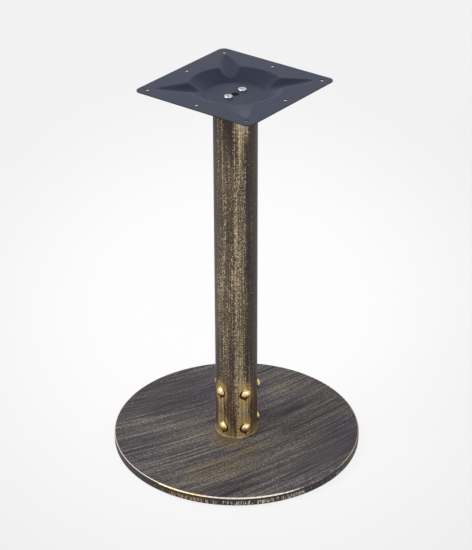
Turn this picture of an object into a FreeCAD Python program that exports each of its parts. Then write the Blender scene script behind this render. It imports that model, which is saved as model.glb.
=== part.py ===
import FreeCAD, Part
import math
import os

import Sketcher

# Pedestal table base: a heavy round plate on four low glides, a round tube column that is
# riveted to a sleeve standing on the plate, and a stamped top plate bolted to the column's cap.
# Frame: +Z up, floor at zero, column axis at the origin, top plate's sides along X and Y.

doc = FreeCAD.newDocument("pedestal_table_base")

# Driving dimensions, in millimetres and degrees
DRIVING = [
    ("disc_diameter", 450.0),
    ("disc_thickness", 16.0),
    ("disc_top_edge_radius", 2.0),
    ("disc_bottom_edge_radius", 1.0),
    ("glide_standoff", 4.0),
    ("glide_diameter", 26.0),
    ("glide_edge_radius", 1.5),
    ("glide_ring_radius", 190.0),
    ("glide_ring_angle", 45.0),
    ("glide_stem_diameter", 8.0),
    ("glide_stem_length", 12.0),
    ("glide_hole_spare", 1.0),
    ("glide_slot_width", 1.6),
    ("glide_slot_depth", 1.2),
    ("column_diameter", 76.0),
    ("column_wall", 2.0),
    ("column_length", 661.7),
    ("sleeve_clearance", 0.2),
    ("sleeve_wall", 4.0),
    ("sleeve_length", 112.0),
    ("rivet_head_diameter", 18.0),
    ("rivet_head_height", 5.2),
    ("rivet_shank_diameter", 6.0),
    ("rivet_tail_diameter", 10.0),
    ("rivet_tail_end_diameter", 8.0),
    ("rivet_tail_height", 3.0),
    ("rivet_seat_gap", 0.1),
    ("rivet_hole_clearance", 0.2),
    ("rivet_lower_height", 18.5),
    ("rivet_row_spacing", 72.0),
    ("rivet_phase", -25.4),
    ("rivet_lower_wander", 5.0),
    ("rivet_upper_wander", -3.5),
    ("plate_side", 240.0),
    ("plate_corner_radius", 12.0),
    ("plate_sheet", 1.8),
    ("dish_rim_radius", 80.0),
    ("dish_floor_radius", 49.0),
    ("dish_depth", 16.5),
    ("valley_axis_height", 12.8),
    ("valley_inner_radius", 26.0),
    ("valley_outer_radius", 12.0),
    ("valley_inner_reach", 46.0),
    ("valley_end_gap", 7.4),
    ("lip_radius", 9.0),
    ("floor_corner_radius", 10.0),
    ("table_hole_diameter", 7.0),
    ("table_hole_margin", 16.5),
    ("centre_hole_diameter", 14.0),
    ("cap_thickness", 8.0),
    ("cap_clearance", 0.2),
    ("screw_spacing", 38.0),
    ("screw_diameter", 8.0),
    ("screw_length", 14.0),
    ("screw_head_diameter", 15.0),
    ("screw_head_height", 2.9),
    ("screw_head_crown", 1.4),
    ("screw_hole_clearance", 0.5),
    ("thread_clearance", 0.1),
    ("recess_width", 1.8),
    ("recess_span", 7.0),
    ("recess_depth", 1.8),
    ("recess_taper", -12.0),
    ("screw_tip_chamfer", 0.8),
    ("washer_diameter", 14.0),
    ("washer_thickness", 1.0),
    ("washer_split_width", 1.0),
    ("washer_bore_clearance", 0.2),
]

# Counts
RIVETS_PER_ROW = 5
RIVET_ROWS = 2
GLIDES = 4
VALLEYS = 4
PLATE_SCREWS = 2
TABLE_HOLES = 4
# Corners of a cross, in half widths of its arms: 1 is an arm's side and 4 its end
CROSS_CORNERS = [
    (1, 4), (-1, 4), (-1, 1), (-4, 1), (-4, -1), (-1, -1),
    (-1, -4), (1, -4), (1, -1), (4, -1), (4, 1), (1, 1),
]
# The rivet of each row whose hole was drilled a little off its even spacing
WANDERING_RIVET = 4

sizes = doc.addObject("Spreadsheet::Sheet", "sizes")
for row, (alias, value) in enumerate(DRIVING, start=1):
    sizes.set("A%d" % row, alias)
    sizes.set("B%d" % row, str(value))
    sizes.setAlias("B%d" % row, alias)
doc.recompute()


def ref(alias):
    """Expression that reads one driving dimension."""
    return "sizes." + alias


def size(alias):
    """Present value of one driving dimension."""
    return float(sizes.get(alias))


# Heights and radii that several pieces share, as expressions
DISC_TOP = "(sizes.glide_standoff + sizes.disc_thickness)"
COLUMN_TOP = "(%s + sizes.column_length)" % DISC_TOP
FLOOR_TOP = "(%s + sizes.plate_sheet)" % COLUMN_TOP
RIM_TOP = "(%s + sizes.dish_depth)" % FLOOR_TOP
COLUMN_RADIUS = "(sizes.column_diameter / 2)"
BORE_RADIUS = "(%s - sizes.column_wall)" % COLUMN_RADIUS
SLEEVE_RADIUS = "(%s - sizes.sleeve_clearance)" % BORE_RADIUS
SLEEVE_BORE_RADIUS = "(%s - sizes.sleeve_wall)" % SLEEVE_RADIUS
DISH_SLOPE = "atan(sizes.dish_depth / (sizes.dish_rim_radius - sizes.dish_floor_radius))"
SHEET_STEP = "(sizes.plate_sheet * tan(%s / 2))" % DISH_SLOPE
# Table screw holes from the plate's middle lines, corner holes along the diagonal, and the end
# of a valley's taper short of its corner hole
TABLE_HOLE_OFFSET = "(sizes.plate_side / 2 - sizes.table_hole_margin)"
CORNER_HOLE_REACH = "(sqrt(2) * %s)" % TABLE_HOLE_OFFSET
VALLEY_OUTER_REACH = "(%s - sizes.valley_end_gap)" % CORNER_HOLE_REACH


def dish_angle():
    """Present slope of the dish wall, in radians."""
    return math.atan(size("dish_depth") / (size("dish_rim_radius") - size("dish_floor_radius")))


def new_body(label, height=None, turn=None):
    """Body of one sub-part, set at its height and turned about Z by expressions."""
    body = doc.addObject("PartDesign::Body", label)
    body.Label = label
    if turn is not None:
        body.setExpression("Placement.Rotation.Angle", turn)
    if height is not None:
        body.setExpression("Placement.Base.z", height)
    return body


def origin_feature(body, role):
    """Plane or axis of the body's own origin."""
    for feature in body.Origin.OriginFeatures:
        if feature.Role == role:
            return feature
    raise ValueError(role)


def new_sketch(body, role, height=None):
    """Empty sketch on one of the body's origin planes, lifted along the plane's normal."""
    sketch = body.newObject("Sketcher::SketchObject", body.Label + "_sketch")
    sketch.AttachmentSupport = [(origin_feature(body, role), "")]
    sketch.MapMode = "FlatFace"
    if height is not None:
        sketch.setExpression("AttachmentOffset.Base.z", height)
    return sketch


def bind(sketch, constraint, expression):
    """Add a dimension to the sketch and tie it to an expression."""
    index = sketch.addConstraint(constraint)
    sketch.setExpression("Constraints[%d]" % index, expression)


def place_point(sketch, geometry, position, across, up):
    """Fix a sketch point by its two distances from the origin; None keeps it on the axis."""
    drawn = sketch.getPoint(geometry, position)
    if across is None:
        sketch.addConstraint(Sketcher.Constraint("PointOnObject", geometry, position, -2))
    else:
        bind(sketch, Sketcher.Constraint("DistanceX", -1, 1, geometry, position, drawn.x), across)
    if up is None:
        sketch.addConstraint(Sketcher.Constraint("PointOnObject", geometry, position, -1))
    else:
        bind(sketch, Sketcher.Constraint("DistanceY", -1, 1, geometry, position, drawn.y), up)


def add_polygon(sketch, corners):
    """Closed outline of straight lines whose corners are pairs of expressions.

    It is drawn as a regular polygon, and the expressions then move each corner to its place.
    """
    count = len(corners)
    spots = []
    for index in range(count):
        turn = 2 * math.pi * index / count
        spots.append(FreeCAD.Vector(math.cos(turn), math.sin(turn), 0))
    for index in range(count):
        sketch.addGeometry(Part.LineSegment(spots[index], spots[(index + 1) % count]), False)
    for index in range(count):
        sketch.addConstraint(Sketcher.Constraint("Coincident", index, 2, (index + 1) % count, 1))
    for index, (across, up) in enumerate(corners):
        place_point(sketch, index, 1, across, up)


def add_circle(sketch, diameter, across=None, up=None):
    """Circle whose diameter and centre are expressions, drawn at first as a unit circle."""
    circle = Part.Circle()
    index = sketch.addGeometry(circle, False)
    place_point(sketch, index, 3, across, up)
    bind(sketch, Sketcher.Constraint("Diameter", index, 2 * circle.Radius), diameter)


def add_feature(body, kind, sketch, **settings):
    """PartDesign feature on a sketch; strings are expressions, other settings are values."""
    feature = body.newObject("PartDesign::" + kind, body.Label + "_" + kind.lower())
    feature.Profile = sketch
    for name, setting in settings.items():
        if isinstance(setting, str) and name != "Type":
            feature.setExpression(name, setting)
        else:
            setattr(feature, name, setting)
    return feature


def add_turning(body, kind, sketch, axis):
    """Full revolution or groove of a sketch about one of its axes."""
    return add_feature(body, kind, sketch, ReferenceAxis=(sketch, [axis]), Angle=360.0)


def repeat_round(body, features, count):
    """Polar pattern of some features about the body's Z axis."""
    pattern = body.newObject("PartDesign::PolarPattern", body.Label + "_pattern")
    pattern.Originals = features
    pattern.Axis = (origin_feature(body, "Z_Axis"), [""])
    pattern.Angle = 360.0
    pattern.Occurrences = count
    body.Tip = pattern
    return pattern


def edges_where(feature, test):
    """Names of the feature's edges that pass a test."""
    names = []
    for index, edge in enumerate(feature.Shape.Edges, start=1):
        if test(edge):
            names.append("Edge%d" % index)
    return names


def round_edges(body, feature, test, radius):
    """Fillet on the chosen edges of the feature."""
    doc.recompute()
    fillet = body.newObject("PartDesign::Fillet", body.Label + "_fillet")
    fillet.Base = (feature, edges_where(feature, test))
    fillet.setExpression("Radius", radius)
    body.Tip = fillet
    return fillet


def is_circle_at(edge, height, radius=None):
    """True for a full circle about Z at a height, of any or of one radius."""
    curve = edge.Curve
    if not isinstance(curve, Part.Circle) or not edge.isClosed():
        return False
    if abs(curve.Center.z - height) > 1e-4:
        return False
    return radius is None or abs(curve.Radius - radius) < 1e-4


def make_base_disc():
    """Solid round plate with eased edges and four tapped holes for the glides."""
    body = new_body("base_disc", height=ref("glide_standoff"))
    outline = new_sketch(body, "XY_Plane")
    add_circle(outline, ref("disc_diameter"))
    plate = add_feature(body, "Pad", outline, Length=ref("disc_thickness"))
    radius = size("disc_diameter") / 2
    top = size("disc_thickness")
    upper = lambda edge: is_circle_at(edge, top, radius)
    plate = round_edges(body, plate, upper, ref("disc_top_edge_radius"))
    lower = lambda edge: is_circle_at(edge, 0, radius)
    plate = round_edges(body, plate, lower, ref("disc_bottom_edge_radius"))
    hole = new_sketch(body, "XY_Plane")
    across = "sizes.glide_ring_radius * cos(sizes.glide_ring_angle * 1 deg)"
    up = "sizes.glide_ring_radius * sin(sizes.glide_ring_angle * 1 deg)"
    add_circle(hole, "sizes.glide_stem_diameter + 2 * sizes.thread_clearance", across, up)
    depth = "sizes.glide_stem_length + sizes.glide_hole_spare"
    pocket = add_feature(body, "Pocket", hole, Length=depth, Reversed=True)
    repeat_round(body, [pocket], GLIDES)
    return body


def make_glide(index):
    """One-piece moulded glide: flat foot, stem screwed into the disc, driver slot below."""
    angle = "(sizes.glide_ring_angle + %d * 360 / %d)" % (index, GLIDES)
    body = new_body("glide_%d" % (index + 1))
    body.setExpression("Placement.Base.x", "sizes.glide_ring_radius * cos(%s * 1 deg)" % angle)
    body.setExpression("Placement.Base.y", "sizes.glide_ring_radius * sin(%s * 1 deg)" % angle)
    outline = new_sketch(body, "XY_Plane")
    add_circle(outline, ref("glide_diameter"))
    foot = add_feature(body, "Pad", outline, Length=ref("glide_standoff"))
    foot = round_edges(body, foot, lambda edge: is_circle_at(edge, 0), ref("glide_edge_radius"))
    stem = new_sketch(body, "XY_Plane", height=ref("glide_standoff"))
    add_circle(stem, ref("glide_stem_diameter"))
    add_feature(body, "Pad", stem, Length=ref("glide_stem_length"))
    slot = new_sketch(body, "XY_Plane")
    end = "(sizes.glide_stem_diameter / 2)"
    side = "(sizes.glide_slot_width / 2)"
    corners = [(end, side), ("-" + end, side), ("-" + end, "-" + side), (end, "-" + side)]
    add_polygon(slot, corners)
    add_feature(body, "Pocket", slot, Length=ref("glide_slot_depth"), Reversed=True)
    return body


def rivet_place(row, index):
    """Angle about Z and height of one rivet, as expressions."""
    angle = "(sizes.rivet_phase + %d * 360 / %d" % (index, RIVETS_PER_ROW)
    if index == WANDERING_RIVET:
        angle += " + " + ref("rivet_upper_wander" if row else "rivet_lower_wander")
    height = "(%s + sizes.rivet_lower_height + %d * sizes.rivet_row_spacing)" % (DISC_TOP, row)
    return angle + ")", height


def radial_placement(row, index):
    """Placement that turns +Z into the rivet's radius at its height."""
    angle, height = rivet_place(row, index)
    axis = "vector(-sin(%s * 1 deg); cos(%s * 1 deg); 0)" % (angle, angle)
    return "placement(vector(0; 0; %s); rotation(%s; 90 deg))" % (height, axis)


def make_drills():
    """Tool of radial cylinders from the axis outward, one for each rivet hole."""
    drills = []
    for row in range(RIVET_ROWS):
        for index in range(RIVETS_PER_ROW):
            drill = doc.addObject("Part::Cylinder", "drill_%d_%d" % (row + 1, index + 1))
            drill.setExpression("Radius", "sizes.rivet_shank_diameter / 2 + sizes.rivet_hole_clearance")
            drill.setExpression("Height", ref("column_diameter"))
            drill.setExpression("Placement", radial_placement(row, index))
            drills.append(drill)
    tool = doc.addObject("Part::MultiFuse", "rivet_drills")
    tool.Shapes = drills
    return tool


def make_tube(label, outer, inner, length, drills):
    """Round tube standing on the disc with the rivet holes through its wall."""
    pieces = []
    for role, radius in (("outside", outer), ("bore", inner)):
        cylinder = doc.addObject("Part::Cylinder", "%s_%s" % (label, role))
        cylinder.setExpression("Radius", radius)
        cylinder.setExpression("Height", length)
        cylinder.setExpression("Placement.Base.z", DISC_TOP)
        pieces.append(cylinder)
    wall = doc.addObject("Part::Cut", label + "_wall")
    wall.Base, wall.Tool = pieces
    tube = doc.addObject("Part::Cut", label)
    tube.Label = label
    tube.Base = wall
    tube.Tool = drills
    return tube


def make_rivet(row, index):
    """Dome-head rivet along a radius: flat-backed head, shank, and tail formed in the sleeve."""
    label = "rivet_%s_%d" % ("upper" if row else "lower", index + 1)
    seat = "(%s + sizes.rivet_seat_gap)" % COLUMN_RADIUS
    rim = "(sizes.rivet_head_diameter / 2)"
    crown = "sizes.rivet_head_height"
    ball = "((%s ^ 2 + %s ^ 2) / (2 * %s))" % (rim, crown, crown)
    tail = "(sizes.rivet_tail_diameter / 2)"
    tail_seat = "(sqrt(%s ^ 2 - %s ^ 2) - sizes.rivet_seat_gap)" % (SLEEVE_BORE_RADIUS, tail)
    head = doc.addObject("Part::Sphere", label + "_head")
    head.setExpression("Radius", ball)
    head.setExpression("Angle1", "asin(1 - %s / %s)" % (crown, ball))
    head.setExpression("Placement.Base.z", "%s + %s - %s" % (seat, crown, ball))
    shank = doc.addObject("Part::Cylinder", label + "_shank")
    shank.setExpression("Radius", "sizes.rivet_shank_diameter / 2")
    shank.setExpression("Height", "%s - %s" % (seat, tail_seat))
    shank.setExpression("Placement.Base.z", tail_seat)
    formed = doc.addObject("Part::Cone", label + "_tail")
    formed.setExpression("Radius1", "sizes.rivet_tail_end_diameter / 2")
    formed.setExpression("Radius2", tail)
    formed.setExpression("Height", ref("rivet_tail_height"))
    formed.setExpression("Placement.Base.z", "%s - sizes.rivet_tail_height" % tail_seat)
    rivet = doc.addObject("Part::MultiFuse", label)
    rivet.Label = label
    rivet.Shapes = [head, shank, formed]
    rivet.setExpression("Placement", radial_placement(row, index))
    return rivet


def make_column_cap():
    """Round plug welded flush in the tube's top, tapped for the two plate screws."""
    body = new_body("column_cap", height="%s - sizes.cap_thickness" % COLUMN_TOP)
    outline = new_sketch(body, "XY_Plane")
    add_circle(outline, "2 * (%s - sizes.cap_clearance)" % BORE_RADIUS)
    add_circle(outline, ref("centre_hole_diameter"))
    add_feature(body, "Pad", outline, Length=ref("cap_thickness"))
    holes = new_sketch(body, "XY_Plane")
    add_circle(holes, "sizes.screw_diameter + 2 * sizes.thread_clearance", None, "sizes.screw_spacing / 2")
    hole = add_feature(body, "Pocket", holes, Length=ref("cap_thickness"), Reversed=True)
    repeat_round(body, [hole], PLATE_SCREWS)
    return body


def dish_profile(sketch, drop):
    """Half section of the dish; drop is None for its upper face and set for its lower one."""
    step = SHEET_STEP if drop else "0"
    sheet = drop or "0"
    floor = "(sizes.dish_floor_radius + %s)" % step
    rim = "(sizes.dish_rim_radius + %s)" % step
    corners = [
        (None, "-(sizes.dish_depth + %s)" % sheet),
        (floor, "-(sizes.dish_depth + %s)" % sheet),
        (rim, "-" + sheet if drop else None),
        (None, "-" + sheet if drop else None),
    ]
    add_polygon(sketch, corners)


def add_valley(body, growth, turning):
    """Tapered round trough on a level axis above the rim, with its pattern.

    The taper rises out of the rim before its outer end, so the trough runs out in a point. It
    touches a ball of the inner and one of the outer radius along circles.
    """
    inner = "(sizes.valley_inner_radius + %s)" % growth
    outer = "(sizes.valley_outer_radius + %s)" % growth
    lean = "((sizes.valley_inner_radius - sizes.valley_outer_radius)"
    lean += " / (%s - sizes.valley_inner_reach))" % VALLEY_OUTER_REACH
    axis = ref("valley_axis_height")
    near = "(sizes.valley_inner_reach + %s * %s)" % (inner, lean)
    far = "(%s + %s * %s)" % (VALLEY_OUTER_REACH, outer, lean)
    corners = [
        (near, axis),
        (near, "%s + %s * cos(asin(%s))" % (axis, inner, lean)),
        (far, "%s + %s * cos(asin(%s))" % (axis, outer, lean)),
        (far, axis),
    ]
    sketch = new_sketch(body, "XZ_Plane")
    add_polygon(sketch, corners)
    taper = add_turning(body, turning, sketch, "Edge4")
    return repeat_round(body, [taper], VALLEYS)


def is_floor_corner(edge, drop):
    """True for the circle round the dish floor, on the face that lies a drop below the upper."""
    step = drop * math.tan(dish_angle() / 2)
    return is_circle_at(edge, -size("dish_depth") - drop, size("dish_floor_radius") + step)


def is_lip(edge, drop):
    """True for the edges where rim, dish wall and valleys meet, on the face a drop lower."""
    first, last = edge.ParameterRange
    spots = [edge.valueAt(first + (last - first) * share) for share in (0, 0.25, 0.5, 0.75, 1)]
    if all(abs(spot.z + drop) < 1e-3 for spot in spots):
        middle = spots[2]
        inside_sides = abs(middle.x) + abs(middle.y) < size("plate_side") / math.sqrt(2) - 1
        hole_offset = size("plate_side") / 2 - size("table_hole_margin")
        inside_holes = math.hypot(middle.x, middle.y) < hole_offset * math.sqrt(2)
        return inside_sides and inside_holes
    slope = math.tan(dish_angle())
    foot = size("dish_floor_radius") + drop * math.tan(dish_angle() / 2)
    for spot in spots:
        wall = -size("dish_depth") - drop + (math.hypot(spot.x, spot.y) - foot) * slope
        if abs(spot.z - wall) > 1e-2 or spot.z < -size("dish_depth") - drop + 1e-2:
            return False
    return True


def make_top_plate():
    """Stamped plate: flat rim, round dish, and a valley towards each corner.

    The body's X axis runs along a diagonal of the plate, so each valley and corner hole lies
    on one of its axes, and the body is turned by an eighth of a turn to square the plate up.
    """
    body = new_body("top_plate", height=RIM_TOP, turn="45 deg")
    half_diagonal = "(sizes.plate_side / sqrt(2))"
    corners = [
        (half_diagonal, None),
        (None, half_diagonal),
        ("-" + half_diagonal, None),
        (None, "-" + half_diagonal),
    ]
    outline = new_sketch(body, "XY_Plane")
    add_polygon(outline, corners)
    slab = add_feature(body, "Pad", outline, Length=ref("plate_sheet"), Reversed=True)
    doc.recompute()
    upright = lambda edge: abs(edge.tangentAt(edge.FirstParameter).z) > 0.99
    round_edges(body, slab, upright, ref("plate_corner_radius"))

    # Lower face: dish and valleys, each larger than on the upper face by the sheet
    sketch = new_sketch(body, "XZ_Plane")
    dish_profile(sketch, ref("plate_sheet"))
    dish = add_turning(body, "Revolution", sketch, "V_Axis")
    sheet = size("plate_sheet")
    corner = "sizes.floor_corner_radius + sizes.plate_sheet"
    round_edges(body, dish, lambda edge: is_floor_corner(edge, sheet), corner)
    add_valley(body, ref("plate_sheet"), "Revolution")

    # Everything above the rim is open
    sketch = new_sketch(body, "XY_Plane")
    add_polygon(sketch, corners)
    clearing = "2 * (sizes.valley_axis_height + sizes.valley_inner_radius)"
    add_feature(body, "Pocket", sketch, Length=clearing, Reversed=True)

    # Upper face
    sketch = new_sketch(body, "XZ_Plane")
    dish_profile(sketch, None)
    dish = add_turning(body, "Groove", sketch, "V_Axis")
    round_edges(body, dish, lambda edge: is_floor_corner(edge, 0), ref("floor_corner_radius"))
    pressed = add_valley(body, "0", "Groove")

    # The press leaves round lips where rim, dish wall and valleys meet
    pressed = round_edges(body, pressed, lambda edge: is_lip(edge, 0), ref("lip_radius"))
    round_edges(body, pressed, lambda edge: is_lip(edge, sheet), "sizes.lip_radius - sizes.plate_sheet")

    # Screw holes for the table top at the corners and at the middles of the sides
    corner_holes = new_sketch(body, "XY_Plane")
    add_circle(corner_holes, ref("table_hole_diameter"), CORNER_HOLE_REACH, None)
    side_holes = new_sketch(body, "XY_Plane")
    along = TABLE_HOLE_OFFSET + " / sqrt(2)"
    add_circle(side_holes, ref("table_hole_diameter"), along, along)
    through = "sizes.dish_depth + 2 * sizes.plate_sheet"
    holes = [add_feature(body, "Pocket", sketch, Length=through) for sketch in (corner_holes, side_holes)]
    repeat_round(body, holes, TABLE_HOLES)

    # Centre hole and the two screw holes in the dish floor, which follow the cap's
    centre = new_sketch(body, "XY_Plane")
    add_circle(centre, ref("centre_hole_diameter"))
    slant = "sizes.screw_spacing / 2 * sin(45 deg)"
    for side in ("", "-"):
        across = "%s(%s)" % (side, slant)
        add_circle(centre, "sizes.screw_diameter + 2 * sizes.screw_hole_clearance", across, across)
    add_feature(body, "Pocket", centre, Length=through)
    return body


def make_plate_screw(index):
    """Cross-recess pan-head screw that clamps the plate to the cap."""
    side = "(1 - %d) * " % (2 * index)
    body = new_body("plate_screw_%d" % (index + 1), height="%s + sizes.washer_thickness" % FLOOR_TOP)
    body.setExpression("Placement.Base.y", side + "sizes.screw_spacing / 2")
    sketch = new_sketch(body, "XZ_Plane")
    shank = "(sizes.screw_diameter / 2)"
    head = "(sizes.screw_head_diameter / 2)"
    corners = [
        (None, "-sizes.screw_length"),
        (shank + " - sizes.screw_tip_chamfer", "-sizes.screw_length"),
        (shank, "-sizes.screw_length + sizes.screw_tip_chamfer"),
        (shank, None),
        (head, None),
        (head, ref("screw_head_height")),
        (None, ref("screw_head_height")),
    ]
    add_polygon(sketch, corners)
    turned = add_turning(body, "Revolution", sketch, "V_Axis")
    top = size("screw_head_height")
    round_edges(body, turned, lambda edge: is_circle_at(edge, top), ref("screw_head_crown"))
    recess = new_sketch(body, "XY_Plane", height=ref("screw_head_height"))
    wide = "(sizes.recess_span / 2)"
    slim = "(sizes.recess_width / 2)"
    corners = []
    for across, up in CROSS_CORNERS:
        across = ("-" if across < 0 else "") + (wide if abs(across) > 1 else slim)
        up = ("-" if up < 0 else "") + (wide if abs(up) > 1 else slim)
        corners.append((across, up))
    add_polygon(recess, corners)
    add_feature(body, "Pocket", recess, Length=ref("recess_depth"), TaperAngle=ref("recess_taper"))
    return body


def make_spring_washer(index):
    """Split ring under the screw's head."""
    side = "(1 - %d) * " % (2 * index)
    body = new_body("spring_washer_%d" % (index + 1), height=FLOOR_TOP)
    body.setExpression("Placement.Base.y", side + "sizes.screw_spacing / 2")
    ring = new_sketch(body, "XY_Plane")
    add_circle(ring, ref("washer_diameter"))
    add_circle(ring, "sizes.screw_diameter + 2 * sizes.washer_bore_clearance")
    add_feature(body, "Pad", ring, Length=ref("washer_thickness"))
    split = new_sketch(body, "XZ_Plane")
    half = "(sizes.washer_split_width / 2)"
    lean = "sizes.washer_thickness / 2"
    corners = [
        ("-%s - %s" % (half, lean), None),
        ("%s - %s" % (half, lean), None),
        ("%s + %s" % (half, lean), ref("washer_thickness")),
        ("-%s + %s" % (half, lean), ref("washer_thickness")),
    ]
    add_polygon(split, corners)
    add_feature(body, "Pocket", split, Length=ref("washer_diameter"))
    return body


drills = make_drills()
parts = [
    make_base_disc(),
    make_tube("hub_sleeve", SLEEVE_RADIUS, SLEEVE_BORE_RADIUS, ref("sleeve_length"), drills),
    make_tube("column_tube", COLUMN_RADIUS, BORE_RADIUS, ref("column_length"), drills),
    make_column_cap(),
    make_top_plate(),
]
for index in range(GLIDES):
    parts.append(make_glide(index))
for index in range(PLATE_SCREWS):
    parts.append(make_plate_screw(index))
    parts.append(make_spring_washer(index))
for row in range(RIVET_ROWS):
    for index in range(RIVETS_PER_ROW):
        parts.append(make_rivet(row, index))

doc.recompute()
for item in doc.Objects:
    if "Invalid" in item.State or "Error" in item.State:
        raise RuntimeError("%s: %s" % (item.Name, item.State))
os.makedirs("parts", exist_ok=True)
for part in parts:
    if part.Shape.isNull() or not part.Shape.isValid():
        raise RuntimeError(part.Label)
    part.Shape.exportStep("parts/%s.step" % part.Label)
    print(part.Label, len(part.Shape.Solids), round(part.Shape.Volume, 1), part.Shape.BoundBox)
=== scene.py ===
import math

import bpy
from mathutils import Matrix, Vector


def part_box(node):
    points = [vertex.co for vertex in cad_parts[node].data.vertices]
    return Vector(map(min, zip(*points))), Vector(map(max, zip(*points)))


# Looks of a pedestal table base: brushed antique paint on disc and column, brass rivets,
# satin powder coat on the stamped plate, zinc screws. Lengths are in metres, and angles are
# in radians where no comment says degrees.

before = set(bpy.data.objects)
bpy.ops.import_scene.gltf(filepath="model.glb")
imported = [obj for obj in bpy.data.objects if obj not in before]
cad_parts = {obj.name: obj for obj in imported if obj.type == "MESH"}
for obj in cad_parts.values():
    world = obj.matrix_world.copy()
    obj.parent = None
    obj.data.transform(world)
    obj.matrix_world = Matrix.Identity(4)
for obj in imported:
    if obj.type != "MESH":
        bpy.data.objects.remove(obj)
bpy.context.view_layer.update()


def left_of(direction):
    """Flat direction a quarter turn to the left of another."""
    return Vector((-direction.y, direction.x, 0.0))


# The photograph's frame and the camera that fits it
IMAGE_WIDTH = 472
IMAGE_HEIGHT = 550
FOCAL_LENGTH_PIXELS = 1809.9
SENSOR_SIZE = 36.0
CAMERA_DISTANCE = 2.7903
CAMERA_HEIGHT = 1.8781
CAMERA_AZIMUTH = math.radians(37.71)
CAMERA_PITCH = math.radians(28.883)
CAMERA_ROLL = math.radians(-0.224)

# Directions on the floor: from the object to the camera, and to the picture's right
TO_CAMERA = Vector((math.sin(CAMERA_AZIMUTH), -math.cos(CAMERA_AZIMUTH), 0.0))
TO_RIGHT = left_of(TO_CAMERA)

# Sizes read from the frame
DISC_LOW, DISC_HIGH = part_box("base_disc")
DISC_RADIUS = DISC_HIGH[0]
DISC_TOP = DISC_HIGH[2]
DISC_BOTTOM = DISC_LOW[2]
TUBE_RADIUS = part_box("column_tube")[1][0]
RIM_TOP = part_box("top_plate")[1][2]

RIVET_ROWS = ("lower", "upper")
RIVETS_PER_ROW = 5
RIVETS = ["rivet_%s_%d" % (row, index + 1) for row in RIVET_ROWS for index in range(RIVETS_PER_ROW)]
SCREWS = ["plate_screw_1", "plate_screw_2"]
WASHERS = ["spring_washer_1", "spring_washer_2"]
GLIDES = ["glide_%d" % (index + 1) for index in range(4)]

# Marks round a rivet, measured from the middle of its head. Gold shows through the paint in
# a halo, taller than it is wide.
HALO_START = 0.010
HALO_END = 0.019
HALO_FLATTENING = 0.60
# Painted shade of the gap under the head's edge, and how far it is shifted towards the camera's side
GAP_SHADE_START = 0.0091
GAP_SHADE_END = 0.0101
GAP_SHADE_SHIFT = 0.0017
# Wedges above and below the head, a painted highlight above and a painted shadow point below:
# where they narrow, their half width, and how deep in the tube they end
WEDGE_START = 0.0080
WEDGE_END = 0.0150
WEDGE_HALF_WIDTH = 0.0030
WEDGE_DEPTH = -0.008

# Shares of the broad bands and of the fine streaks in a dry brush's grain, and the levels of
# the grain between which the dark paint gives way to gold
BAND_SHARE = 0.18
COLUMN_STREAKS = 0.40
COLUMN_GOLD = (0.555, 0.68)
DISC_STREAKS = 0.42
DISC_GOLD = (0.47, 0.66)

# Strokes down the column: angle from the front and half width in degrees, the heights over
# which the stroke fades in and then out, and how much gold it left
COLUMN_STROKES = [
    (-20, 50, 0.00, 0.02, 0.54, 0.66, 0.018),
    (-46, 20, 0.00, 0.02, 0.44, 0.56, -0.012),
    (-52, 18, 0.00, 0.02, 0.10, 0.15, 0.080),
    (-24, 9, 0.00, 0.02, 0.10, 0.15, -0.080),
    (-80, 22, 0.00, 0.02, 0.80, 0.90, -0.095),
    (-12, 10, 0.00, 0.02, 0.54, 0.62, -0.035),
    (-17, 15, 0.54, 0.66, 0.80, 0.90, -0.095),
    (6, 11, 0.00, 0.02, 0.80, 0.90, 0.050),
    (14, 16, 0.00, 0.02, 0.22, 0.30, 0.040),
    (12, 10, 0.00, 0.02, 0.80, 0.90, 0.005),
    (22, 16, 0.58, 0.66, 0.80, 0.90, 0.170),
    (22, 14, 0.00, 0.02, 0.10, 0.16, 0.250),
    (40, 7, 0.00, 0.02, 0.16, 0.22, 0.100),
    (56, 26, 0.00, 0.02, 0.80, 0.90, -0.120),
    (92, 20, 0.00, 0.02, 0.80, 0.90, -0.100),
    (160, 40, 0.00, 0.02, 0.80, 0.90, 0.055),
    (-136, 26, 0.00, 0.02, 0.80, 0.90, 0.045),
]
# A stroke's edge is soft between these shares of its half width
STROKE_INSIDE = 0.75
STROKE_OUTSIDE = 1.25
# How far the strokes wander round the column
STROKE_WANDER = 0.45
# The solid smear of gold: its angle from the front, where its sides fade, and the heights
# over which it starts under the plate and near the foot
SMEAR_ANGLE = math.radians(17)
SMEAR_SIDES = (0.24, 0.42)
SMEAR_UNDER_PLATE = (0.60, 0.66)
SMEAR_NEAR_FOOT = (0.14, 0.10)
# Heights over which the gold turns pale under the plate
PALE_CROWN = (0.58, 0.66)
# Heights on the column over which the worn foot fades, the paint grows warmer downwards, and
# the bright line at the very foot fades
FOOT_WORN = (DISC_TOP + 0.004, DISC_TOP + 0.026)
WARM_PAINT = (DISC_TOP + 0.150, DISC_TOP + 0.095)
FOOT_LINE = (DISC_TOP + 0.0012, DISC_TOP + 0.0026)

# Strokes across the disc: their direction in the middle, and how they bend along their
# length and draw together across it, both per metre
STROKE_ANGLE = math.radians(70.3)
STROKE_BEND = 0.767
STROKE_FAN = -0.443

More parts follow.
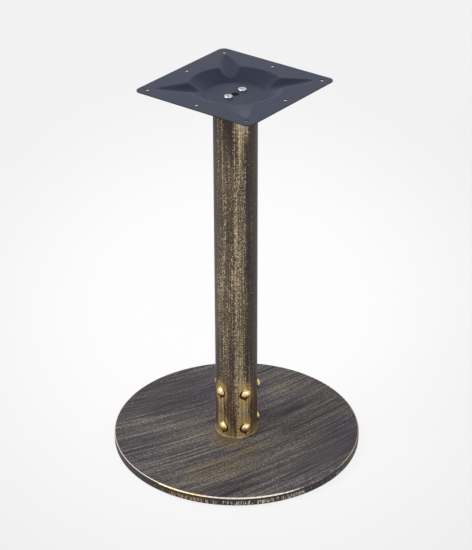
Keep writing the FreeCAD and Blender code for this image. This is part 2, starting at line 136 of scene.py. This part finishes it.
# Patches of paint on the disc: place, reach along the strokes and across them, how much
# paint, and its share of gold
DISC_PATCHES = [
    ((0.055, -0.130), 0.070, 0.035, 0.055, 0.7),
    ((0.068, -0.055), 0.065, 0.032, 0.035, 0.5),
    ((-0.012, 0.152), 0.040, 0.030, 0.050, 0.3),
    ((-0.045, -0.052), 0.050, 0.040, 0.060, 0.2),
    ((0.012, -0.046), 0.030, 0.030, 0.070, 1.0),
    ((-0.120, -0.105), 0.060, 0.025, 0.030, 0.1),
    ((0.117, 0.071), 0.050, 0.020, 0.045, 0.3),
    ((0.090, -0.150), 0.080, 0.020, 0.040, 0.3),
    ((0.180, 0.070), 0.080, 0.070, -0.120, 0.0),
    ((0.175, -0.025), 0.070, 0.035, -0.080, 0.0),
    ((-0.165, 0.020), 0.120, 0.070, -0.080, 0.0),
    ((-0.120, -0.150), 0.060, 0.060, -0.030, 0.0),
]
# How far from the disc's axis the worn line round the column fades
SEAM = (TUBE_RADIUS + 0.0004, TUBE_RADIUS + 0.0026)
# Height of the middle of the band of dabs on the disc's side, and how far from it they fade
DAB_HEIGHT = DISC_BOTTOM + 0.0055
DAB_BAND = (0.003, 0.0055)
# How many dabs there are at the rim's sides and at its front: what is added to their level
DABS_ASIDE = -0.18
DABS_AT_FRONT = -0.005
# Places round the disc's rim, from -1 at the picture's left to 1 at its right: where the dabs
# start and end, where the edge's stretch of wear and painted highlight ends and the next, worn
# one starts, and where it turns from the pale painted highlight to gold and back
DABS_START = (-0.75, -0.35)
DABS_END = (0.62, 0.46)
WEAR_AND_HIGHLIGHT_END = (0.54, 0.42)
RUBBED_AGAIN = (0.76, 0.86)
GOLD_START = (-0.70, -0.56)
GOLD_END = (-0.20, -0.32)

# The floor lies just below the glides and reaches past every view
FLOOR_HALF_SIZE = 30.0
FLOOR_HEIGHT = -0.0003
# Share of the floor's own glow in what the camera sees; the rest keeps the shadow
FLOOR_GLOW = 0.91
# The brightest place lies this far behind the column and fades over this depth and width
GLOW_BEHIND = 0.55
GLOW_DEPTH = 1.25
GLOW_WIDTH = 0.75

# Strength of the surroundings, as light on the object and as the background
WORLD_LIGHT = 0.48
WORLD_BACKGROUND = 0.95


def srgb(red, green, blue):
    """Colour for a shader socket from the 0 to 255 numbers that a screen shows."""
    channels = []
    for value in (red, green, blue):
        share = value / 255.0
        if share <= 0.04045:
            channels.append(share / 12.92)
        else:
            channels.append(((share + 0.055) / 1.055) ** 2.4)
    return (channels[0], channels[1], channels[2], 1.0)


class Nodes:
    """A node tree, emptied first, with short calls for the nodes it uses."""

    def __init__(self, tree):
        self.tree = tree
        self.tree.nodes.clear()

    def add(self, kind, settings=None, **inputs):
        """New node with its settings and its inputs, which have _ for a space."""
        node = self.tree.nodes.new(kind)
        for name, value in (settings or {}).items():
            setattr(node, name, value)
        for name, value in inputs.items():
            self.feed(node.inputs[name.replace("_", " ")], value)
        return node

    def feed(self, socket, value):
        """Link another node's output to a socket, or set its number or colour."""
        if isinstance(value, bpy.types.NodeSocket):
            self.tree.links.new(value, socket)
        else:
            socket.default_value = value

    def math(self, operation, *values):
        node = self.add("ShaderNodeMath", {"operation": operation})
        for socket, value in zip(node.inputs, values):
            self.feed(socket, value)
        return node.outputs[0]

    def plus(self, first, second):
        return self.math("ADD", first, second)

    def minus(self, first, second):
        return self.math("SUBTRACT", first, second)

    def times(self, first, second):
        return self.math("MULTIPLY", first, second)

    def over(self, first, second):
        return self.math("DIVIDE", first, second)

    def greater_of(self, first, second):
        return self.math("MAXIMUM", first, second)

    def hypotenuse(self, first, second):
        squares = self.plus(self.times(first, first), self.times(second, second))
        return self.math("SQRT", squares)

    def vector(self, operation, *values):
        node = self.add("ShaderNodeVectorMath", {"operation": operation})
        for socket, value in zip(node.inputs, values):
            self.feed(socket, value)
        return node.outputs

    def combine(self, x, y, z):
        return self.add("ShaderNodeCombineXYZ", X=x, Y=y, Z=z).outputs[0]

    def length(self, x, y, z):
        return self.vector("LENGTH", self.combine(x, y, z))["Value"]

    def noise(self, vector, detail=2.0, roughness=0.5):
        node = self.add("ShaderNodeTexNoise", Vector=vector, Scale=1.0, Detail=detail,
                        Roughness=roughness)
        return node.outputs["Fac"]

    def dots(self, vector):
        """A level of its own for each small cell, evenly spread from 0 to 1."""
        cells = self.add("ShaderNodeTexVoronoi", Vector=vector, Scale=1.0)
        return self.add("ShaderNodeSeparateColor", Color=cells.outputs["Color"]).outputs[0]

    def ease(self, value, low, high, to_low=0.0, to_high=1.0):
        """Smooth step from one level to another as the value goes from low to high."""
        node = self.add("ShaderNodeMapRange", {"interpolation_type": "SMOOTHSTEP"}, Value=value,
                        From_Min=low, From_Max=high, To_Min=to_low, To_Max=to_high)
        return node.outputs[0]

    def swing(self, level, share):
        """A level's swing round 0.5, cut to a share."""
        return self.times(self.minus(level, 0.5), share)

    def mix(self, share, first, second):
        """Blend of two colours, with this share of the second."""
        node = self.add("ShaderNodeMix", {"data_type": "RGBA"}, Factor=share)
        self.feed(node.inputs[6], first)
        self.feed(node.inputs[7], second)
        return node.outputs[2]


class Shader(Nodes):
    """A new material's nodes, with the place on the object to start from."""

    def __init__(self, name):
        self.material = bpy.data.materials.new(name)
        self.material.use_nodes = True
        super().__init__(self.material.node_tree)
        self.output = self.add("ShaderNodeOutputMaterial")
        self.place = self.add("ShaderNodeTexCoord").outputs["Object"]
        self.split = self.add("ShaderNodeSeparateXYZ", Vector=self.place).outputs

    def reach(self, direction):
        """How far the place lies along a flat direction."""
        x, y, _ = self.split
        return self.plus(self.times(x, direction.x), self.times(y, direction.y))

    def stretched(self, seed, along_x, along_y, along_z):
        """The place with each axis scaled, to so many features a metre, and moved by a seed."""
        scaled = self.vector("MULTIPLY", self.place, (along_x, along_y, along_z))[0]
        return self.vector("ADD", scaled, (seed, seed * 1.7, seed * 0.6))[0]

    def even(self, seed, scale):
        """The place scaled alike on each axis and moved by a seed."""
        return self.stretched(seed, scale, scale, scale)

    def bump(self, height, strength, distance):
        node = self.add("ShaderNodeBump", Height=height, Strength=strength, Distance=distance)
        return node.outputs[0]

    def surface(self, **inputs):
        """Finish the material with a principled shader that has these inputs."""
        shader = self.add("ShaderNodeBsdfPrincipled", **inputs)
        self.feed(self.output.inputs["Surface"], shader.outputs[0])
        return self.material


def brushed(shader, speck, fine, wide, streaky):
    """Grain of a dry brush, about 0.5 on average: dots, a share of fine streaks, and bands."""
    grain = shader.times(speck, 1.0 - BAND_SHARE - streaky)
    grain = shader.plus(grain, shader.times(fine, streaky))
    return shader.plus(grain, shader.times(wide, BAND_SHARE))


def rivet_marks(shader):
    """Masks round the rivets: the halo of worn gold, the painted shade of the gap under each head,
    a crescent with a painted shadow point at the bottom, and the painted highlight where the gap
    closes at the top."""
    nearest = None
    gap_shade = None
    tick_highlight = None
    for name in RIVETS:
        low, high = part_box(name)
        middle = (Vector(low) + Vector(high)) / 2
        outward = Vector((middle.x, middle.y, 0)).normalized()
        round_about = left_of(outward)
        seat = outward * TUBE_RADIUS + Vector((0, 0, middle.z))
        offset = shader.vector("SUBTRACT", shader.place, tuple(seat))[0]
        aside = shader.vector("DOT_PRODUCT", offset, tuple(round_about))["Value"]
        facing = shader.vector("DOT_PRODUCT", offset, tuple(outward))["Value"]
        above = shader.add("ShaderNodeSeparateXYZ", Vector=offset).outputs[2]
        distance = shader.length(aside, facing, shader.times(above, HALO_FLATTENING))
        nearest = distance if nearest is None else shader.math("MINIMUM", nearest, distance)

        # A ring of painted shade in the gap under the head, shifted towards the camera's side
        towards_camera = math.copysign(GAP_SHADE_SHIFT, round_about.dot(TO_CAMERA))
        from_gap = shader.length(shader.minus(aside, towards_camera), facing, above)
        shade_ring = shader.ease(from_gap, GAP_SHADE_START, GAP_SHADE_END, 1.0, 0.0)

        # Painted highlight in a wedge above the head, where the shade ring breaks, and painted shadow
        # in a wedge below it
        height = shader.math("ABSOLUTE", above)
        half_width = shader.ease(height, WEDGE_START, WEDGE_END, WEDGE_HALF_WIDTH, 0.0)
        wedge = shader.math("LESS_THAN", shader.math("ABSOLUTE", aside), half_width)
        wedge = shader.times(wedge, shader.math("GREATER_THAN", facing, WEDGE_DEPTH))
        highlight_above = shader.times(wedge, shader.math("GREATER_THAN", above, 0.0))
        shadow_below = shader.minus(wedge, highlight_above)
        shade_ring = shader.times(shade_ring, shader.minus(1.0, highlight_above))
        shade_ring = shader.greater_of(shade_ring, shadow_below)
        gap_shade = shade_ring if gap_shade is None else shader.greater_of(gap_shade, shade_ring)
        tick_highlight = highlight_above if tick_highlight is None else shader.greater_of(tick_highlight, highlight_above)
    halo = shader.ease(nearest, HALO_START, HALO_END, 1.0, 0.0)
    return halo, gap_shade, tick_highlight


def column_cover(shader, angle, wide):
    """How much more or less gold than usual the strokes left at an angle and a height."""
    z = shader.split[2]
    cover = shader.swing(wide, 0.12)
    for centre, half_width, start, full, fade, end, paint in COLUMN_STROKES:
        inside = math.radians(half_width * STROKE_INSIDE)
        outside = math.radians(half_width * STROKE_OUTSIDE)
        away = shader.math("ABSOLUTE", shader.minus(angle, math.radians(centre)))
        stroke = shader.ease(away, inside, outside, paint, 0.0)
        stroke = shader.times(stroke, shader.ease(z, start, full))
        stroke = shader.times(stroke, shader.ease(z, fade, end, 1.0, 0.0))
        cover = shader.plus(cover, stroke)
    return cover


def column_paint():
    """Column: vertical strokes of speckled gold over near-black brown paint."""
    shader = Shader("column_antique_paint")
    z = shader.split[2]
    mottle = shader.noise(shader.stretched(5.2, 1050, 1050, 680), detail=1)
    grit = shader.dots(shader.stretched(6.8, 880, 880, 760))
    speck = shader.plus(mottle, shader.swing(grit, 0.50))
    fine = shader.noise(shader.stretched(3.1, 640, 640, 8), detail=1)
    wide = shader.noise(shader.stretched(7.4, 130, 130, 4), detail=2)
    patch = shader.noise(shader.stretched(1.9, 30, 30, 6), detail=2)
    hue = shader.noise(shader.stretched(2.7, 520, 520, 380), detail=1)
    lines = shader.noise(shader.stretched(8.8, 760, 760, 4), detail=0)
    rag = shader.noise(shader.stretched(4.9, 70, 70, 300), detail=3, roughness=0.7)

    # Angle round the column from the camera's side, wandering a little with height
    angle = shader.math("ARCTAN2", shader.reach(TO_RIGHT), shader.reach(TO_CAMERA))
    angle = shader.plus(angle, shader.swing(rag, STROKE_WANDER))

    # Worn to gold round the rivets and at the foot, with the rivets' painted shade and highlight
    halo, gap_shade, tick_highlight = rivet_marks(shader)
    foot = shader.ease(z, *FOOT_WORN, 0.7, 0.0)
    worn = shader.greater_of(halo, foot)
    cover = shader.plus(column_cover(shader, angle, wide), shader.times(worn, 0.05))
    grain = brushed(shader, speck, fine, wide, COLUMN_STREAKS)
    gold = shader.ease(shader.plus(grain, cover), *COLUMN_GOLD)

    # A solid smear of gold under the plate and near the foot, with fine lines only
    smear_away = shader.math("ABSOLUTE", shader.minus(angle, SMEAR_ANGLE))
    under_plate = shader.ease(z, *SMEAR_UNDER_PLATE)
    near_foot = shader.ease(z, *SMEAR_NEAR_FOOT, 0.0, 0.8)
    smear = shader.times(shader.ease(smear_away, *SMEAR_SIDES, 1.0, 0.0),
                         shader.greater_of(under_plate, near_foot))
    smear = shader.greater_of(smear, shader.times(worn, 0.75))
    smear = shader.times(smear, shader.ease(fine, 0.34, 0.60, 0.25, 1.0))
    gold = shader.greater_of(gold, smear)

    # Dark paint: bluish and brownish patches, brown streaks, a film near the gold, lighter
    # grit, and a warmer brown towards the foot
    warm = shader.ease(z, *WARM_PAINT)
    warm_brown = shader.mix(shader.ease(fine, 0.40, 0.58), srgb(60, 44, 34), srgb(100, 76, 54))
    dark = shader.mix(shader.ease(patch, 0.38, 0.60), srgb(40, 39, 45), srgb(58, 49, 44))
    dark = shader.mix(shader.ease(fine, 0.47, 0.72, 0.0, 0.5), dark, srgb(92, 70, 52))
    dark = shader.mix(shader.ease(cover, -0.06, 0.05, 0.0, 0.55), dark, srgb(90, 78, 60))
    dark = shader.mix(shader.ease(grit, 0.60, 1.0, 0.0, 0.40), dark, srgb(122, 104, 80))
    dark = shader.mix(shader.times(warm, 0.8), dark, warm_brown)

    # Gold paint: yellow and grey gold, pale under the plate, warm towards the foot, with
    # dark and light grit, and plain where it is worn
    crown = shader.ease(z, *PALE_CROWN)
    tint = shader.mix(shader.ease(hue, 0.30, 0.60), srgb(190, 150, 74), srgb(176, 154, 132))
    tint = shader.mix(shader.times(crown, 0.85), tint, srgb(224, 202, 166))
    tint = shader.mix(shader.times(warm, 0.7), tint, srgb(204, 166, 108))
    dark_grit = shader.mix(0.55, tint, srgb(92, 72, 54))
    light_grit = shader.mix(0.55, tint, srgb(246, 230, 198))
    tint = shader.mix(shader.ease(grit, 0.25, 0.85), dark_grit, light_grit)
    tint = shader.mix(shader.times(worn, 0.8), tint, srgb(208, 174, 104))
    bright_lines = shader.times(shader.ease(lines, 0.60, 0.74, 0.0, 0.55), gold)
    tint = shader.mix(bright_lines, tint, srgb(222, 196, 146))

    colour = shader.mix(gold, dark, tint)
    colour = shader.mix(shader.ease(lines, 0.41, 0.28, 0.0, 0.6), colour, srgb(54, 46, 42))
    foot_line = shader.ease(z, *FOOT_LINE, 1.0, 0.0)
    foot_line = shader.times(foot_line, shader.ease(wide, 0.40, 0.62, 0.15, 0.9))
    colour = shader.mix(foot_line, colour, srgb(236, 212, 166))
    # Painted shade in the gap under each rivet head, and a painted highlight where it closes at the
    # top
    colour = shader.mix(gap_shade, colour, srgb(30, 24, 22))
    colour = shader.mix(tick_highlight, colour, srgb(240, 220, 172))

    height = shader.plus(shader.times(fine, 0.5), shader.times(mottle, 0.7))
    return shader.surface(
        Base_Color=colour,
        Roughness=shader.ease(speck, 0.3, 0.7, 0.40, 0.60),
        Metallic=shader.times(shader.times(gold, 0.5), shader.minus(1.0, gap_shade)),
        Normal=shader.bump(height, 0.30, 0.0004),
        Specular_IOR_Level=0.18,
    )


def add_patches(shader, cover, along, across, ahead, fine):
    """The cover with each patch's paint added, and the patches' share of gold."""
    golden = None
    for place, length, width, paint, gold_share in DISC_PATCHES:
        middle = Vector((place[0], place[1], 0.0))
        middle_along = middle.dot(ahead)
        middle_across = middle.dot(left_of(ahead)) - middle_along ** 2 * STROKE_BEND / 2
        middle_across /= 1.0 + middle_along * STROKE_FAN
        far = shader.over(shader.minus(along, middle_along), length)
        aside = shader.over(shader.minus(across, middle_across), width)
        apart = shader.plus(shader.hypotenuse(far, aside), shader.swing(fine, 1.2))
        blot = shader.ease(apart, 0.3, 1.3, 1.0, 0.0)
        cover = shader.plus(cover, shader.times(blot, paint))
        share = shader.times(blot, gold_share)
        golden = share if golden is None else shader.greater_of(golden, share)
    return cover, golden


def disc_paint():
    """Disc: long strokes across the top, short upright dabs on the side, and an edge worn to gold
    in stretches, with a pale painted highlight.
    """
    shader = Shader("disc_antique_paint")
    x, y, z = shader.split
    geometry = shader.add("ShaderNodeNewGeometry")
    normal_z = shader.add("ShaderNodeSeparateXYZ", Vector=geometry.outputs["Normal"]).outputs[2]

    # Place along the strokes and across them, where they bend and draw together
    ahead = Vector((math.cos(STROKE_ANGLE), math.sin(STROKE_ANGLE), 0.0))
    along = shader.reach(ahead)
    sagitta = shader.times(shader.times(along, along), STROKE_BEND / 2)
    spread = shader.plus(shader.times(along, STROKE_FAN), 1.0)
    across = shader.over(shader.minus(shader.reach(left_of(ahead)), sagitta), spread)

    def strokes(seed, per_width, per_length, **settings):
        spot = shader.combine(shader.times(across, per_width), shader.times(along, per_length), seed)
        return shader.noise(spot, **settings)

    fine = strokes(1.3, 580, 12, detail=2, roughness=0.7)
    wide = strokes(4.7, 90, 5, detail=3)
    lines = strokes(8.2, 600, 3.6, detail=0)
    creases = strokes(15.1, 360, 4.2, detail=0)
    patch = shader.noise(shader.even(2.3, 11), detail=2)
    mottle = shader.noise(shader.even(6.6, 560), detail=1, roughness=0.6)
    grit = shader.dots(shader.even(9.4, 640))
    speck = shader.plus(mottle, shader.swing(grit, 0.20))

    cover, golden = add_patches(shader, shader.swing(wide, 0.15), along, across, ahead, fine)
    grain = brushed(shader, speck, fine, wide, DISC_STREAKS)
    gold = shader.ease(shader.plus(grain, cover), *DISC_GOLD)

    # Dark paint: charcoal in patches, bluer between the bands, with dusty streaks
    charcoal = shader.mix(shader.ease(patch, 0.40, 0.60), srgb(50, 47, 57), srgb(56, 51, 53))
    charcoal = shader.mix(shader.ease(wide, 0.42, 0.30, 0.0, 0.6), charcoal, srgb(51, 49, 62))
    dusty = shader.times(shader.ease(fine, 0.40, 0.64, 0.0, 0.75),
                         shader.ease(speck, 0.36, 0.62, 0.25, 1.0))
    charcoal = shader.mix(dusty, charcoal, srgb(100, 94, 100))

    # Gold paint: khaki, and bronze in the golden patches
    light_speck = shader.ease(speck, 0.42, 0.68)
    khaki = shader.mix(light_speck, srgb(94, 88, 88), srgb(166, 156, 142))
    bronze = shader.mix(light_speck, srgb(92, 80, 58), srgb(176, 158, 108))
    paint = shader.mix(golden, khaki, bronze)
    top = shader.mix(shader.times(gold, 0.85), charcoal, paint)
    top = shader.mix(shader.times(golden, 0.28), top, srgb(82, 66, 44))

    # Thin pale lines, dotted and fewer where little paint is, and dark creases
    pale = shader.times(shader.ease(lines, 0.62, 0.76, 0.0, 0.70),
                        shader.ease(speck, 0.35, 0.60, 0.4, 1.0))
    pale = shader.times(pale, shader.ease(cover, -0.08, 0.0, 0.35, 1.0))
    top = shader.mix(pale, top, srgb(160, 149, 132))
    top = shader.mix(shader.ease(creases, 0.38, 0.24, 0.0, 0.75), top, srgb(42, 38, 42))

    # A bright worn line where the column stands
    from_axis = shader.length(x, y, 0.0)
    seam = shader.ease(from_axis, *SEAM, 0.6, 0.0)
    seam = shader.times(seam, shader.ease(speck, 0.35, 0.60))
    top = shader.mix(seam, top, srgb(214, 186, 136))

    # The disc's side: short upright dabs on its lower half, in clusters, most at the front
    rightward = shader.reach(TO_RIGHT / DISC_RADIUS)
    at_front = shader.times(shader.ease(rightward, *DABS_START), shader.ease(rightward, *DABS_END))
    around = shader.times(shader.math("ARCTAN2", y, x), DISC_RADIUS)
    dabs = shader.noise(shader.combine(shader.times(around, 560), shader.times(z, 90), 3.3), detail=1)
    clusters = shader.noise(shader.even(9.1, 12), detail=2)
    from_band = shader.math("ABSOLUTE", shader.minus(z, DAB_HEIGHT))
    dab_level = shader.plus(dabs, shader.ease(from_band, *DAB_BAND, 0.06, -0.20))
    dab_level = shader.plus(dab_level, shader.swing(clusters, 0.4))
    dab_share = shader.ease(at_front, 0.0, 1.0, DABS_ASIDE, DABS_AT_FRONT)
    dab_level = shader.plus(dab_level, dab_share)
    off_underside = shader.ease(normal_z, -0.7, -0.4)
    dab = shader.times(shader.ease(dab_level, 0.52, 0.70), off_underside)
    dab_colour = shader.mix(shader.ease(rightward, *GOLD_END), srgb(198, 184, 166), srgb(156, 130, 88))
    side = shader.mix(dab, srgb(56, 50, 52), dab_colour)
    colour = shader.mix(shader.ease(normal_z, 0.35, 0.60), side, top)

    # The rounded upper edge is rubbed through to bright gold metal in stretches, and carries a pale
    # painted highlight along its left and front
    on_edge = shader.times(shader.ease(normal_z, 0.40, 0.60), shader.ease(normal_z, 0.98, 0.88))
    wear_and_highlight = shader.greater_of(shader.ease(rightward, *WEAR_AND_HIGHLIGHT_END, 0.08, 1.0),
                               shader.ease(rightward, *RUBBED_AGAIN, 0.0, 0.7))
    edge_wear_and_highlight = shader.times(on_edge, shader.times(wear_and_highlight, shader.ease(clusters, 0.30, 0.60, 0.75, 1.0)))
    left_gold = shader.times(shader.ease(rightward, *GOLD_START), shader.ease(rightward, *GOLD_END))
    edge_gold = shader.greater_of(left_gold, shader.ease(rightward, *RUBBED_AGAIN))
    # Pale where the edge's colour is a painted highlight, gold where it is worn
    edge_colour = shader.mix(edge_gold, srgb(236, 226, 214), srgb(224, 202, 156))
    colour = shader.mix(edge_wear_and_highlight, colour, edge_colour)

    height = shader.plus(shader.times(fine, 0.6), shader.times(mottle, 0.5))
    return shader.surface(
        Base_Color=colour,
        Roughness=shader.ease(speck, 0.3, 0.7, 0.45, 0.62),
        Metallic=shader.greater_of(shader.times(gold, 0.25), shader.times(edge_wear_and_highlight, 0.8)),
        Normal=shader.bump(height, 0.25, 0.0004),
        Specular_IOR_Level=0.15,
    )


def powder_coat():
    """Stamped plate: satin powder coat, dark blue grey, with a faint orange peel, and a
    bluish sheen where it is seen at a slant."""
    shader = Shader("plate_powder_coat")
    peel = shader.noise(shader.even(2.2, 900), detail=2)
    cloud = shader.noise(shader.even(8.1, 22), detail=3, roughness=0.6)
    return shader.surface(
        Base_Color=shader.mix(shader.ease(cloud, 0.3, 0.7), srgb(38, 41, 54), srgb(42, 45, 59)),
        Roughness=shader.ease(cloud, 0.3, 0.7, 0.30, 0.38),
        Normal=shader.bump(peel, 0.12, 0.0003),
        Specular_IOR_Level=0.12,
        Specular_Tint=(0.74, 0.80, 1.0, 1.0),
        Sheen_Weight=0.08,
        Sheen_Roughness=0.5,
        Sheen_Tint=(0.35, 0.45, 1.0, 1.0),
    )


def rivet_brass():
    """Rivet heads: bright worn brass, with painted shade low on the dome."""
    shader = Shader("rivet_brass_finish")
    mottle = shader.noise(shader.even(3.3, 300), detail=3, roughness=0.6)
    grit = shader.noise(shader.even(6.1, 1300), detail=2)

    # Height above the middle of the row that the rivet is in
    z = shader.split[2]
    lower, upper = [sum(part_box("rivet_%s_1" % row)[side][2] for side in (0, 1)) / 2
                    for row in RIVET_ROWS]
    in_upper = shader.math("GREATER_THAN", z, (lower + upper) / 2)
    above = shader.minus(shader.minus(z, lower), shader.times(in_upper, upper - lower))

    colour = shader.mix(shader.ease(mottle, 0.45, 0.7), srgb(242, 218, 160), srgb(200, 162, 96))
    # Painted shade on the lower part of each dome
    colour = shader.mix(shader.ease(above, 0.001, -0.007), colour, srgb(116, 82, 42))
    return shader.surface(
        Base_Color=colour,
        Roughness=shader.ease(mottle, 0.35, 0.7, 0.26, 0.42),
        Metallic=1.0,
        Normal=shader.bump(shader.plus(mottle, shader.times(grit, 0.3)), 0.25, 0.0005),
    )


def zinc():
    """Screws and washers: bright zinc plating with a slight grain."""
    shader = Shader("zinc_plating")
    grain = shader.noise(shader.even(1.2, 900), detail=3)
    return shader.surface(
        Base_Color=shader.mix(shader.ease(grain, 0.3, 0.7), srgb(176, 178, 184), srgb(214, 215, 218)),
        Roughness=shader.ease(grain, 0.3, 0.7, 0.26, 0.40),
        Metallic=1.0,
        Normal=shader.bump(grain, 0.15, 0.0003),
    )


def bare_steel():
    """Hidden sleeve and cap: drawn steel with lengthwise marks."""
    shader = Shader("bare_steel_finish")
    draw = shader.noise(shader.stretched(2.7, 700, 700, 20), detail=3)
    return shader.surface(
        Base_Color=shader.mix(shader.ease(draw, 0.3, 0.7), srgb(96, 94, 92), srgb(140, 138, 136)),
        Roughness=shader.ease(draw, 0.3, 0.7, 0.35, 0.55),
        Metallic=1.0,
        Normal=shader.bump(draw, 0.2, 0.0003),
    )


def glide_nylon():
    """Glides: black moulded nylon with a fine matt texture."""
    shader = Shader("glide_nylon_finish")
    grain = shader.noise(shader.even(5.5, 1500), detail=2)
    return shader.surface(
        Base_Color=shader.mix(grain, srgb(24, 24, 25), srgb(40, 40, 42)),
        Roughness=shader.ease(grain, 0.3, 0.7, 0.5, 0.7),
        Normal=shader.bump(grain, 0.2, 0.0002),
    )


def dress(names, material):
    """Give CAD nodes a material in their own slots."""
    for name in names:
        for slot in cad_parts[name].material_slots:
            slot.material = material


def seen_directly(nodes):
    """One for rays that show the background: camera, glossy and transmission rays."""
    rays = nodes.add("ShaderNodeLightPath").outputs
    direct = nodes.greater_of(rays["Is Camera Ray"], rays["Is Glossy Ray"])
    return nodes.greater_of(direct, rays["Is Transmission Ray"])


def make_floor():
    """Pale floor that fades into the background and keeps the object's shadow."""
    size = FLOOR_HALF_SIZE
    corners = [(-size, -size), (size, -size), (size, size), (-size, size)]
    mesh = bpy.data.meshes.new("studio_floor")
    mesh.from_pydata([(x, y, FLOOR_HEIGHT) for x, y in corners], [], [(0, 1, 2, 3)])
    floor = bpy.data.objects.new("studio_floor", mesh)
    bpy.context.scene.collection.objects.link(floor)

    # Brightest behind the column, a little greyer all round, and white towards the horizon
    shader = Shader("studio_floor_paper")
    x, y, _ = shader.split
    behind = shader.reach(-TO_CAMERA)
    depth = shader.over(shader.minus(behind, GLOW_BEHIND), GLOW_DEPTH)
    width = shader.over(shader.reach(TO_RIGHT), GLOW_WIDTH)
    surround = shader.mix(shader.ease(behind, -0.6, 2.2), srgb(236, 236, 236), srgb(246, 246, 246))
    from_glow = shader.ease(shader.hypotenuse(depth, width), 0.25, 1.05)
    paper_colour = shader.mix(from_glow, srgb(255, 255, 255), surround)
    far_out = shader.ease(shader.length(x, y, 0.0), 3.5, 9.0)
    paper_colour = shader.mix(far_out, paper_colour, srgb(255, 255, 255))

    glow = shader.add("ShaderNodeEmission", Color=paper_colour, Strength=1.0)
    paper = shader.add("ShaderNodeBsdfDiffuse", Color=(0.86, 0.86, 0.86, 1.0))
    blend = shader.add("ShaderNodeMixShader")
    shader.feed(blend.inputs[0], shader.times(seen_directly(shader), FLOOR_GLOW))
    shader.feed(blend.inputs[1], paper.outputs[0])
    shader.feed(blend.inputs[2], glow.outputs[0])
    shader.feed(shader.output.inputs["Surface"], blend.outputs[0])
    mesh.materials.append(shader.material)


def make_world():
    """Even pale surroundings that show as the background but light the object plainly."""
    world = bpy.data.worlds.new("studio_world")
    world.use_nodes = True
    nodes = Nodes(world.node_tree)
    strength = nodes.add("ShaderNodeMapRange", Value=seen_directly(nodes),
                         To_Min=WORLD_LIGHT, To_Max=WORLD_BACKGROUND)
    background = nodes.add("ShaderNodeBackground", Color=(1.0, 1.0, 1.0, 1.0),
                           Strength=strength.outputs[0])
    nodes.add("ShaderNodeOutputWorld", Surface=background.outputs[0])
    bpy.context.scene.world = world


def add_softbox(name, right, ahead, height, size, power):
    """Square soft light, placed to the right of the object, ahead of it and up, that is
    aimed at the middle of its height."""
    data = bpy.data.lights.new(name, "AREA")
    data.shape = "SQUARE"
    data.size = size
    data.energy = power
    light = bpy.data.objects.new(name, data)
    bpy.context.scene.collection.objects.link(light)
    place = TO_RIGHT * right + TO_CAMERA * ahead + Vector((0, 0, height))
    target = Vector((0, 0, RIM_TOP / 2))
    light.location = place
    light.rotation_euler = (target - place).to_track_quat("-Z", "Y").to_euler()


def make_camera():
    """Camera that fits the photograph."""
    data = bpy.data.cameras.new("photo_camera")
    data.sensor_width = SENSOR_SIZE
    data.lens = FOCAL_LENGTH_PIXELS * SENSOR_SIZE / max(IMAGE_WIDTH, IMAGE_HEIGHT)
    camera = bpy.data.objects.new("photo_camera", data)
    bpy.context.scene.collection.objects.link(camera)
    place = TO_CAMERA * CAMERA_DISTANCE + Vector((0, 0, CAMERA_HEIGHT))
    turn = Matrix.Rotation(CAMERA_AZIMUTH, 4, "Z")
    tilt = Matrix.Rotation(math.pi / 2 - CAMERA_PITCH, 4, "X")
    roll = Matrix.Rotation(CAMERA_ROLL, 4, "Z")
    camera.matrix_world = Matrix.Translation(place) @ turn @ tilt @ roll
    bpy.context.scene.camera = camera


dress(["column_tube"], column_paint())
dress(["base_disc"], disc_paint())
dress(["top_plate"], powder_coat())
dress(RIVETS, rivet_brass())
dress(SCREWS + WASHERS, zinc())
dress(["hub_sleeve", "column_cap"], bare_steel())
dress(GLIDES, glide_nylon())

make_floor()
make_world()
add_softbox("key_softbox", right=-1.8, ahead=0.7, height=2.4, size=1.4, power=60)
add_softbox("fill_softbox", right=1.5, ahead=1.5, height=1.6, size=1.6, power=12)
make_camera()
bpy.context.scene.view_settings.view_transform = "Standard"
